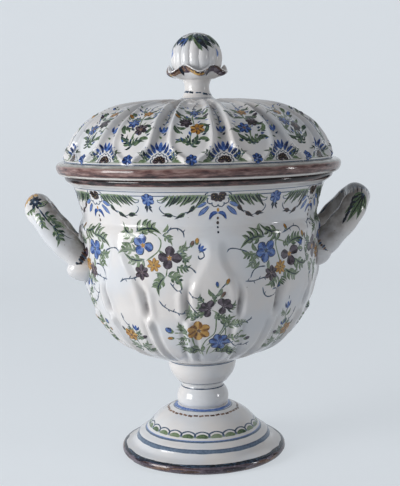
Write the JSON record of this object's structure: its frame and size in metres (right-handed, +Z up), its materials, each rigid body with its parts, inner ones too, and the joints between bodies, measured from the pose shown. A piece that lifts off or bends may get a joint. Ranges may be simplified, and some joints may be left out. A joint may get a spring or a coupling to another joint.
{
  "type": "two-handled vase",
  "caption": "Covered two-handled faience vase on a pedestal foot, with a panelled bowl, fluted lid and flower-painted tin glaze.",
  "frame": {"origin": "centre of the footprint, on the surface that the foot rests on", "axes": "+Z up along the turning axis, +X towards the right handle, -Y towards the pictured side"},
  "size_m": [0.2989, 0.244, 0.365],
  "materials": {
    "tin_glaze": "glossy warm-white tin glaze with hand-painted flowers",
    "manganese_edge": "glossy purple-brown manganese edge over tin glaze",
    "shaded_glaze": "glossy warm-white tin glaze, shaded grey inside the handle"
  },
  "bodies": {
    "vase": {"foot": "tin_glaze", "stem_knop": "tin_glaze", "stem_socket": "tin_glaze", "bowl": "tin_glaze", "collar": "tin_glaze", "lip": "manganese_edge", "handle_left": "shaded_glaze", "handle_left_front_pad": "tin_glaze", "handle_left_rear_pad": "tin_glaze", "handle_right": "shaded_glaze", "handle_right_front_pad": "tin_glaze", "handle_right_rear_pad": "tin_glaze"},
    "lid": {"lid_rim": "manganese_edge", "lid_flange": "tin_glaze", "lid_dome": "tin_glaze", "finial_neck": "tin_glaze", "finial_calyx": "tin_glaze", "finial_ball": "tin_glaze"}
  },
  "joints": [
    {"name": "lid_lift", "type": "slide", "parent": "vase", "child": "lid", "axis": [0, 0, 1], "range_m": [0, 0.12]}
  ]
}
